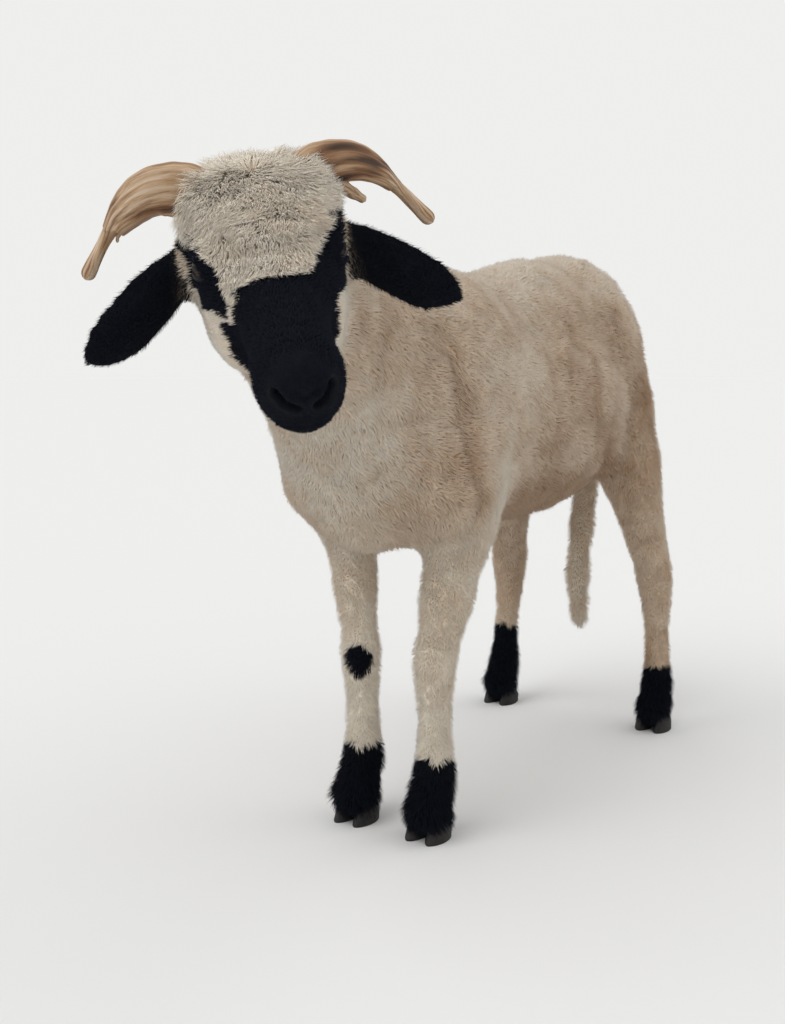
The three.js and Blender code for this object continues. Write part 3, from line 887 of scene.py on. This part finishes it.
# No hair on the eyes, in the nostrils, on the lips, under the horns or under the feet
bare = np.zeros(len(places))
for side in (1, -1):
    out, ahead, up = (np.array(axis) for axis in eyeAxes(side))
    apart = onFace - eyeCentre(side)
    slit = slitAt(apart @ ahead, apart @ up)
    bare = np.maximum(bare, smooth(1.3, 1.15, slit) * (apart @ out > -4))
    gap = fromLine(onFace, onSide(side, faceCarving["nostril"]["line"]))[0]
    bare = np.maximum(bare, smooth(6.5, 5, gap))
gap = fromLine(onFace, faceCarving["lips"]["line"][1:-1])[0]
bare = np.maximum(bare, smooth(2.6, 1.6, gap))
addAttribute(skinMesh, "bare", bare * weight["head"])
bare = np.maximum(bare, smooth(15, 12, hornGap))
bare = np.maximum(bare, smooth(skinShape["soleLevel"] + 1 * mm, skinShape["soleLevel"], places[:, 2]))
thin = 1.0
wanted = areas * 1e4 * (fields["density"] * (1 - bare))[corners].mean(axis=1) * thin


# Roots spread evenly over the skin, as triangle and place in it
def scatter(wanted):
    total = np.cumsum(wanted)
    picks = np.searchsorted(total, np.arange(0.5, total[-1]))
    picks = picks[rng.permutation(len(picks))]
    a, b = rng.random((2, len(picks)))
    over = a + b > 1
    a[over], b[over] = 1 - a[over], 1 - b[over]
    return picks, np.stack([1 - a - b, a, b], 1)


picks, shares = scatter(wanted)


def atRoots(values):
    picked = values[corners[picks]]
    if values.ndim == 1:
        return np.sum(picked * shares, axis=1)
    return np.sum(picked * shares[:, :, None], axis=1)


roots = atRoots(places)
rootNormals = unit(atRoots(normals))
rootLie = unit(atRoots(lie))
rootWeight = {part: atRoots(values) for part, values in weight.items()}
rootWool = atRoots(isWool)
rootFields = {word: atRoots(values) for word, values in fields.items()}
rootUv = np.sum(skinUv[cornerLoops[picks]] * shares[:, :, None], axis=1)
rootDark = darkAt(roots, rootWeight)
rootDark = (rootDark > rng.uniform(0.35, 0.65, len(roots))).astype(float)
rootTone = np.clip(toneAt(roots, rootWeight) + rng.normal(0, 0.05, len(roots)), 0, 1)
print("coat roots:", len(roots))

# Directions: along the lie, lifted, turned by broad and fine swirls
across = np.cross(rootNormals, rootLie)
swirl = 1.2 * lumps(roots, 34 * mm, 21) + 1.4 * lumps(roots, 12 * mm, 22) + rng.normal(0, 0.35, len(roots))
swirl *= rootFields["swirl"]
lift = np.radians(rootFields["lift"] + 12 * lumps(roots, 11 * mm, 23) + rng.normal(0, 6, len(roots)))
flat = rootLie * np.cos(swirl)[:, None] + across * np.sin(swirl)[:, None]
aim = flat * np.cos(lift)[:, None] + rootNormals * np.sin(lift)[:, None]
length = rootFields["length"] * mm * (1 + 0.18 * lumps(roots, 14 * mm, 24) + rng.normal(0, 0.12, len(roots)))
length = np.maximum(length, 3 * mm)
tips = roots + aim * length[:, None]
tips[:, 2] = np.maximum(tips[:, 2], 2 * mm)

# Tips lean together in locks
lockSize = 9 * mm
bodyArea = 1.1  # roughly, in square metres
centres = rng.permutation(len(roots))[:: max(int(len(roots) / (bodyArea / lockSize**2)), 1)]
tree = KDTree(len(centres))
for i, centre in enumerate(centres):
    tree.insert(roots[centre], i)
tree.balance()
owner = centres[[tree.find(root)[1] for root in roots.tolist()]]
pull = 0.18 + 0.08 * rootWool
sameWay = np.sum(rootNormals * rootNormals[owner], axis=1) > 0.6
isNear = np.linalg.norm(roots - roots[owner], axis=1) < 2.2 * lockSize
pull = np.where(sameWay & isNear, pull, 0)
shorter = (length / np.maximum(length[owner], 1 * mm)).clip(0, 1)
tips += (tips[owner] - tips) * pull[:, None] * shorter[:, None]
print("locks:", len(centres))


tuftShape = {
    "sunk": 1.2 * mm,
    "ridge": 0.30,  # how high the third side stands, in widths
    "curl": 0.15,
    "bow": 0.13,
    "waist": 0.78,
    "patch": 0.003,
    "root": [(0, 0), (1, 0), (0.5, 0.35)],  # places in the patch
    "middle": [(0.1, 0.6), (0.9, 0.6), (0.5, 0.8)],
    "tip": [(0.5, 1)],
}


# Each tuft is a thin closed blade from a sunk three-sided root to a point. Bent ones have a ring halfway.
def makeTufts(name, chosen, bent):
    count = len(chosen)
    root, tip, normal = roots[chosen], tips[chosen], rootNormals[chosen]
    run = tip - root
    along = unit(run)
    sideways = unit(np.cross(normal, along))
    outward = np.cross(along, sideways)
    width = (rootFields["width"][chosen] * mm * (1 + rng.normal(0, 0.12, count)))[:, None]

    def ring(middle, width):
        ridge = middle + outward * width * tuftShape["ridge"]
        return [middle - sideways * width / 2, middle + sideways * width / 2, ridge]

    rings = [ring(root - normal * tuftShape["sunk"], width)]
    tipShare = [np.zeros(3)]
    if bent:
        long = np.linalg.norm(run, axis=1, keepdims=True)
        curl = rng.normal(0, tuftShape["curl"], (count, 1)) * long
        middle = root + run * 0.5 + normal * long * tuftShape["bow"] + sideways * curl
        rings.append(ring(middle, width * tuftShape["waist"]))
        tipShare.append(np.full(3, 0.55))
    verts = np.stack(sum(rings, []) + [tip], axis=1)
    shareOfTip = np.tile(np.concatenate(tipShare + [np.ones(1)]), count)
    faces = [(0, 2, 1)]
    if bent:
        for i in range(3):
            j = (i + 1) % 3
            faces += [(i, j, 3 + j), (i, 3 + j, 3 + i)]
    last = (len(rings) - 1) * 3
    faces += [(last + i, last + (i + 1) % 3, last + 3) for i in range(3)]
    faces = np.array(faces)
    size = verts.shape[1]
    index = (np.arange(count)[:, None, None] * size + faces[None]).reshape(-1)

    mesh = bpy.data.meshes.new(name)
    mesh.vertices.add(count * size)
    mesh.vertices.foreach_set("co", verts.ravel())
    mesh.loops.add(len(index))
    mesh.loops.foreach_set("vertex_index", index)
    mesh.polygons.add(count * len(faces))
    mesh.polygons.foreach_set("loop_start", np.arange(0, len(index), 3))
    mesh.polygons.foreach_set("use_smooth", np.ones(count * len(faces), bool))
    mesh.update()
    uv = mesh.uv_layers.new(name="OFBake")
    spots = np.array(tuftShape["root"] + (tuftShape["middle"] if bent else []) + tuftShape["tip"])
    corner = (rootUv[chosen][:, None] + (spots[None] - 0.5) * tuftShape["patch"]).clip(0, 1).reshape(-1, 2)
    uv.data.foreach_set("uv", corner[index].ravel())
    addAttribute(mesh, "dark", np.repeat(rootDark[chosen], size))
    addAttribute(mesh, "tone", np.repeat(rootTone[chosen], size))
    addAttribute(mesh, "tip", shareOfTip)
    slot = "dark_coat" if name.startswith("hair") else "pale_coat"
    mesh.materials.append(coatMaterials[slot])
    piece = addObject(name, mesh)
    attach(piece, "root")


mostTriangles = 190000
region = np.argmax(np.stack([rootWeight[part] for part in parts]), axis=0)
isBent = rootWool > 0.3
coatTriangles = 0
for number, part in enumerate(parts):
    for kind, isKind in (("wool", rootDark < 0.5), ("hair", rootDark > 0.5)):
        for bent, shape in ((True, "long"), (False, "short")):
            found = np.nonzero((region == number) & isKind & (isBent == bent))[0]
            if not len(found):
                continue
            faces = 10 if bent else 4
            pieces = math.ceil(len(found) * faces / mostTriangles)
            found = found[np.argsort(roots[found, 1], kind="stable")]
            for i, chosen in enumerate(np.array_split(found, pieces)):
                makeTufts(f"{kind}_{part}_{shape}_{i + 1}", chosen, bent)
            coatTriangles += len(found) * faces
            print(kind, part, shape, len(found))
print("coat triangles:", coatTriangles)

# A tube through rings of places, closed at both ends
def loft(name, rings, material, closed=False):
    rings = np.asarray(rings, float)
    if closed:
        rings = np.concatenate([rings, rings[:1]])
    rows, count = rings.shape[:2]
    tube = bmesh.new()
    for word in ("along", "turn"):
        tube.verts.layers.float.new(word)
    along, turn = (tube.verts.layers.float[word] for word in ("along", "turn"))
    bmesh.ops.create_grid(tube, x_segments=count, y_segments=rows - 1, size=1)
    order = sorted(tube.verts, key=lambda vert: (round(vert.co.y, 5), round(vert.co.x, 5)))
    for i, vert in enumerate(order):
        row, place = divmod(i, count + 1)
        vert.co = rings[row][place % count]
        vert[along] = row / (rows - 1)
        vert[turn] = place / count
    bmesh.ops.remove_doubles(tube, verts=tube.verts, dist=0.001 * mm)
    bmesh.ops.holes_fill(tube, edges=[edge for edge in tube.edges if edge.is_boundary], sides=0)
    bmesh.ops.recalc_face_normals(tube, faces=tube.faces)
    mesh = bpy.data.meshes.new(name)
    for face in tube.faces:
        face.smooth = True
    tube.to_mesh(mesh)
    tube.free()
    mesh.materials.append(material)
    piece = addObject(name, mesh)
    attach(piece, "root")
    return piece


# The horns: a ridged shell that ends in a broken lip, with the slim younger horn coming out of it

def hornMaterialOf():
    material, tree, shader = newMaterial("horn", Roughness=0.55, Specular_IOR_Level=0.4)
    grain = tree.nodes.new("ShaderNodeAttribute")
    grain.attribute_name = "grain"
    streaks = noiseNode(tree, 1.1, 7, 0.66, grain.outputs["Vector"])
    colour = rampOf(tree, [
        (0.30, (0.06, 0.038, 0.027)), (0.41, (0.24, 0.14, 0.075)),
        (0.50, (0.43, 0.295, 0.175)), (0.66, (0.62, 0.51, 0.40)),
    ])
    tree.links.new(streaks, colour.inputs["Fac"])
    # Darker where the horn is stained, and painted shade in the left horn's groove
    stainAndShadeTint = rampOf(tree, [(0.0, (1.10, 1.08, 1.08)), (0.35, (0.92, 0.83, 0.74)), (0.7, (0.52, 0.36, 0.25)),
                         (1.0, (0.12, 0.09, 0.08))])
    tree.links.new(attributeNode(tree, "stainAndShade"), stainAndShadeTint.inputs["Fac"])
    base = mixNode(tree, "MULTIPLY", 1.0, colour.outputs["Color"], stainAndShadeTint.outputs["Color"])
    tree.links.new(base, shader.inputs["Base Color"])
    bumpInto(tree, shader, streaks, 0.6, 1.2 * mm)
    return material


hornMaterial = hornMaterialOf()


# A smooth curve through points, as evenly spaced places
def curveThrough(points, count):
    points = np.array(points, float)
    ends = np.concatenate([[2 * points[0] - points[1]], points, [2 * points[-1] - points[-2]]])
    fine = []
    share = np.linspace(0, 1, 40, endpoint=False)[:, None]
    for a, b, c, d in zip(ends, ends[1:], ends[2:], ends[3:]):
        bend = (2 * a - 5 * b + 4 * c - d) * share**2 + (3 * b - a - 3 * c + d) * share**3
        fine.append(0.5 * (2 * b + (c - a) * share + bend))
    fine = np.concatenate(fine + [points[-1:]])
    run = np.concatenate([[0], np.cumsum(np.linalg.norm(np.diff(fine, axis=0), axis=1))])
    want = np.linspace(0, run[-1], count)
    return np.stack([np.interp(want, run, axis) for axis in fine.T], 1)


# 1 in the groove that winds round the horn
def inGroove(angle, along, wide, reach):
    middle = hornLook["groove"]["middle"]
    return bell((angle - 2.75 + 0.9 * (along - 0.3)) / wide) * bell((along - middle) / reach)


# Noise that runs along the horn: places on a drawn-out cylinder. The left horn is the more stained one, with
# painted shade in its groove
def addGrain(piece, side):
    mesh = piece.data
    along, turn = (rowsOf(mesh.attributes[word].data, "value", 1)[:, 0] for word in ("along", "turn"))
    angle = turn * 2 * math.pi
    grain = np.stack([np.cos(angle) * 3.2, np.sin(angle) * 3.2, along * 2.6], 1)
    mesh.attributes.new("grain", "FLOAT_VECTOR", "POINT").data.foreach_set("vector", grain.ravel())
    around = np.stack([np.cos(angle), np.sin(angle), along * 3 + side], 1)
    stainAndShade = smooth(0.8, 0.15, along) * (0.62 if side > 0 else 0.30) + 0.55 * lumps(around, 0.55, 35)
    # The left horn's groove: painted shade in its hollow
    if side > 0:
        stainAndShade += 0.75 * inGroove(angle, along, 0.16, 0.17)
    addAttribute(mesh, "stainAndShade", np.clip(stainAndShade, 0, 1))


def hornRings(side, rows, count):
    middle = curveThrough(onSide(side, hornLook["line"]), rows)
    buried = np.array([[side * 24, 61, 44]])
    middle = np.concatenate([buried, middle[1:]])
    along = unit(np.gradient(middle, axis=0))
    up = unit(np.array([0, 0, 1.0]) - along * along[:, 2:])
    across = np.cross(up, along) * side
    share = np.repeat(np.linspace(0, 1, rows), count)
    angle = np.tile(np.linspace(0, 2 * math.pi, count, endpoint=False), rows)
    full = 1 - smooth(*hornLook["slims"][side], share)
    thick, wide = (hornLook["tip"] + (root - hornLook["tip"]) * full for root in hornLook["root"])
    around = np.stack([np.cos(angle), np.sin(angle), share * 1.5 + side], 1)
    under = smooth(0.35, -0.5, np.sin(angle))
    lip = hornLook["lip"][side] + 0.03 * lumps(around * (1, 1, 0), 0.5, 31) - 0.04 * under
    drop = hornLook["drop"][side]
    size = 0.96 + drop * 0.5 * smooth(lip - 0.3, lip, share) * under
    size = np.where(share > lip, 0.96 - drop * (0.35 + 0.65 * under) * smooth(0.4, 0.0, share - lip), size)
    size += lumps(around * (1, 1, 0.5), 0.2, 32) * 0.03 + lumps(around * (1, 1, 0.3), 0.45, 33) * 0.04
    size += np.sin(share * 75 + 2 * lumps(around, 0.7, 34)) * 0.010 * (1 - share)  # rings of growth
    fold = hornLook["fold"]
    isLong = smooth(0.75, 0.4, share) * smooth(0, 0.1, share)
    size -= fold["deep"] * bell((angle - 2.35 + 0.3 * share) / fold["wide"]) * isLong
    size -= hornLook["groove"]["deep"][side] * inGroove(angle, share, 0.2, 0.16)
    size *= roundedEnd((share - 0.955) / 0.045)
    knots = lumps(around * (1, 1, 4), 0.5, 36) * smooth(0.6, 0.8, share)
    size *= 1 + 0.10 * bell((share - 0.93) / 0.06) + 0.05 * knots
    row = np.repeat(range(rows), count)
    apart = across[row] * (np.cos(angle) * thick * size)[:, None]
    apart += up[row] * (np.sin(angle) * wide * size)[:, None]
    return intoScene(middle[row] + apart).reshape(rows, count, 3)


for hand, side in (("left", 1), ("right", -1)):
    piece = loft(f"horn_{hand}_shell", hornRings(side, 120, 48), hornMaterial)
    addGrain(piece, side)
    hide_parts(f"horn_{hand}")

# Splinters where the shell has split from the horn
splinters = [
    {"hand": "left", "half": (8.0, 3.2), "line": [
        (58, 63, 50), (70, 62, 43), (80, 62, 35), (88, 62, 28),
    ]},
    {"hand": "right", "half": (3.0, 1.4), "line": [
        (-98, 76, 34), (-106, 78, 30), (-112, 79, 24), (-114, 80, 18),
    ]},
]


def makeSplinter(hand, line, half):
    rows, count = 26, 16
    middle = curveThrough(line, rows)
    along = unit(np.gradient(middle, axis=0))
    broad = unit(np.cross(along, (0, 1.0, 0)))
    thin = np.cross(broad, along)
    share = np.linspace(0, 1, rows)
    angle = np.linspace(0, 2 * math.pi, count, endpoint=False)
    taper = (1 - 0.6 * share) * roundedEnd((share - 0.9) / 0.1) * (1 + 0.06 * np.sin(share * 21))
    wide = np.outer(half[0] * taper, np.cos(angle))[:, :, None] * broad[:, None]
    flat = np.outer(half[1] * taper, np.sin(angle))[:, :, None] * thin[:, None]
    places = intoScene(middle[:, None] + wide + flat)
    addGrain(loft(f"horn_{hand}_splinter", places, hornMaterial), -1)


for splinter in splinters:
    makeSplinter(**splinter)
print("horns made")

# The eyes, with a lying pupil, and the wet rims of their lids

def eyeMaterialOf():
    wet = {"Coat_Weight": 0.2, "Coat_Roughness": 0.03}
    material, tree, shader = newMaterial("eye", Roughness=0.3, Specular_IOR_Level=0.15, **wet)
    iris = rampOf(tree, [
        (0.0, (0.020, 0.010, 0.005)), (0.5, (0.032, 0.016, 0.007)), (0.70, (0.008, 0.005, 0.004)),
        (0.80, (0.012, 0.009, 0.008)), (1.0, (0.02, 0.014, 0.012)),
    ])
    tree.links.new(attributeNode(tree, "ring"), iris.inputs["Fac"])
    streaks = rampOf(tree, [(0.35, (0.6, 0.6, 0.6)), (0.65, (1.3, 1.25, 1.2))])
    tree.links.new(noiseNode(tree, 700, 3), streaks.inputs["Fac"])
    lively = mixNode(tree, "MULTIPLY", 1.0, iris.outputs["Color"], streaks.outputs["Color"])
    pupil = rampOf(tree, [(0.46, (0, 0, 0)), (0.54, (1, 1, 1))])
    tree.links.new(attributeNode(tree, "pupil"), pupil.inputs["Fac"])
    colour = mixNode(tree, "MIX", pupil.outputs["Color"], (0.002, 0.002, 0.003), lively)
    tree.links.new(colour, shader.inputs["Base Color"])
    return material


eyeMaterial = eyeMaterialOf()
rimColour = (0.006, 0.005, 0.006, 1)
rimMaterial = newMaterial("lid_rim", Roughness=0.45, Specular_IOR_Level=0.3, Base_Color=rimColour)[0]
rimThick = 1.15


def makeEye(hand, side):
    out, ahead, up = eyeAxes(side)
    turn = np.array([ahead, up, out]).T
    centre = eyeCentre(side)
    ball = bmesh.new()
    bmesh.ops.create_uvsphere(ball, u_segments=56, v_segments=40, radius=1)
    local = np.array([vert.co for vert in ball.verts])
    ring = np.hypot(local[:, 0], local[:, 1])
    bulge = 1 + 0.05 * smooth(0.62, 0.0, ring) * (local[:, 2] > 0)
    places = centre + (local * bulge[:, None] * eyeLook["radius"]) @ turn.T
    for vert, place in zip(ball.verts, intoScene(places)):
        vert.co = place
    bmesh.ops.recalc_face_normals(ball, faces=ball.faces)
    mesh = bpy.data.meshes.new(f"eyeball_{hand}")
    for face in ball.faces:
        face.smooth = True
    ball.to_mesh(mesh)
    ball.free()
    isFront = local[:, 2] > 0
    addAttribute(mesh, "ring", np.where(isFront, ring, 1))
    slot = (np.abs(local[:, 0]) / 0.40) ** 3 + (np.abs(local[:, 1]) / 0.17) ** 3
    addAttribute(mesh, "pupil", np.where(isFront, np.clip(slot / 2, 0, 1), 1))
    mesh.materials.append(eyeMaterial)
    eye = addObject(f"eyeball_{hand}", mesh)
    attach(eye, "root")
    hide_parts(f"eye_{hand}")

    angle = np.linspace(0, 2 * math.pi, 72, endpoint=False)
    length, height = eyeLook["slit"]
    forward = length * np.cos(angle)
    upward = height * (1 - 0.25 * np.cos(angle)) * np.sin(angle)
    lid = eyeLook["radius"] + 0.5
    outward = np.sqrt(np.maximum(lid**2 - forward**2 - upward**2, 4))
    middle = np.stack([forward, upward, outward], 1)
    away = unit(middle * (1, 1, 0))
    around = np.linspace(0, 2 * math.pi, 12, endpoint=False)
    broad = np.cos(around)[None, :, None] * away[:, None]
    high = np.sin(around)[None, :, None] * unit(middle)[:, None]
    rings = middle[:, None] + rimThick * (broad + high)
    loft(f"lid_rim_{hand}", intoScene(centre + rings @ turn.T), rimMaterial, closed=True)


makeEye("left", 1)
makeEye("right", -1)
print("eyes made")

# The claws: flat soles, sloping fronts and lines of growth

def clawMaterialOf():
    material, tree, shader = newMaterial("hoof", Roughness=0.6, Specular_IOR_Level=0.35)
    lines = noiseNode(tree, 160, 5, 0.6)
    colour = rampOf(tree, [(0.3, (0.006, 0.006, 0.006)), (0.7, (0.024, 0.021, 0.019))])
    tree.links.new(lines, colour.inputs["Fac"])
    tree.links.new(colour.outputs["Color"], shader.inputs["Base Color"])
    bumpInto(tree, shader, lines, 0.5, 0.8 * mm)
    return material


clawMaterial = clawMaterialOf()


def makeClaw(name):
    low, high = (Vector(corner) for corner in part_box(name))
    middle = (low + high) / 2
    length, width, height = high.y - low.y, high.x - low.x, high.z
    count = 28
    angle = np.linspace(0, 2 * math.pi, count, endpoint=False)
    rings = []
    for share in (0.0, 0.02, 0.06, 0.15, 0.3, 0.45, 0.6, 0.75, 0.9, 1.0):
        size = 1 - 0.03 * smooth(0.03, 0, share) - 0.2 * share - 0.3 * smooth(0.5, 1, share)
        size += 0.008 * math.sin(share * 40)
        ahead = np.sin(angle)
        toe = np.where(ahead < 0, 1.0, 0.86)
        x = middle.x + np.cos(angle) * width / 2 * size * (1 - 0.25 * np.clip(-ahead, 0, 1) ** 3)
        y = middle.y + ahead * length / 2 * size * toe + share * 9 * mm
        z = height * share * (1 - 0.5 * smooth(-0.3, 0.9, ahead))  # the heel is lower than the toe
        rings.append(np.stack([x, y, z], 1))
    claw = loft(name + "_hoof", rings, clawMaterial)
    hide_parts(name)


for name in clawNames():
    makeClaw(name)
print("claws made")

# Floor, light and camera

studio = {
    "backdrop": (0.86, 0.86, 0.85),
    "floor": (0.766, 0.766, 0.757),
    "worldLight": 0.68,
    "key": {"strength": 1.25, "spread": 50, "comesFrom": (-0.45, -1.2, 1.5)},
    "fill": {"strength": 0.6, "spread": 70, "comesFrom": (0.9, 1.3, 1.7)},
}


def addFloor():
    plane = bmesh.new()
    bmesh.ops.create_circle(plane, cap_ends=True, cap_tris=True, segments=64, radius=14)
    mesh = bpy.data.meshes.new("floor")
    plane.to_mesh(mesh)
    plane.free()
    floor = addObject("floor", mesh)
    mesh.materials.append(newMaterial("floor", Roughness=0.9, Base_Color=(*studio["floor"], 1))[0])


def addSun(name, strength, spread, comesFrom):
    data = bpy.data.lights.new(name, "SUN")
    data.energy = strength
    data.angle = math.radians(spread)
    light = addObject(name, data)
    light.location = comesFrom
    light.rotation_euler = (-Vector(comesFrom)).to_track_quat("-Z", "Y").to_euler()


def addWorld():
    world = bpy.data.worlds.new("studio")
    scene.world = world
    world.use_nodes = True
    tree = world.node_tree
    light = tree.nodes["Background"]
    light.inputs["Color"].default_value = (1, 1, 1, 1)
    light.inputs["Strength"].default_value = studio["worldLight"]
    seen = tree.nodes.new("ShaderNodeBackground")
    seen.inputs["Color"].default_value = (*studio["backdrop"], 1)
    path = tree.nodes.new("ShaderNodeLightPath")
    mix = tree.nodes.new("ShaderNodeMixShader")
    tree.links.new(path.outputs["Is Camera Ray"], mix.inputs["Fac"])
    tree.links.new(light.outputs[0], mix.inputs[1])
    tree.links.new(seen.outputs[0], mix.inputs[2])
    tree.links.new(mix.outputs[0], tree.nodes["World Output"].inputs["Surface"])


def addCamera():
    view = {"fromForeFeet": (0.7836, -1.2294, 0.6089), "turn": 32.483, "down": 8.508, "lens": 43.95}
    data = bpy.data.cameras.new("camera")
    data.sensor_width = 36
    data.lens = view["lens"]
    camera = addObject("camera", data)
    feet = Vector((foreFeet.x, foreFeet.y, 0))
    camera.location = feet + Vector(view["fromForeFeet"])
    camera.rotation_euler = (math.radians(90 - view["down"]), 0, math.radians(view["turn"]))
    scene.camera = camera


addFloor()
addSun("key", **studio["key"])
addSun("fill", **studio["fill"])
addWorld()
addCamera()
scene.view_settings.view_transform = "Standard"
print("stage set")
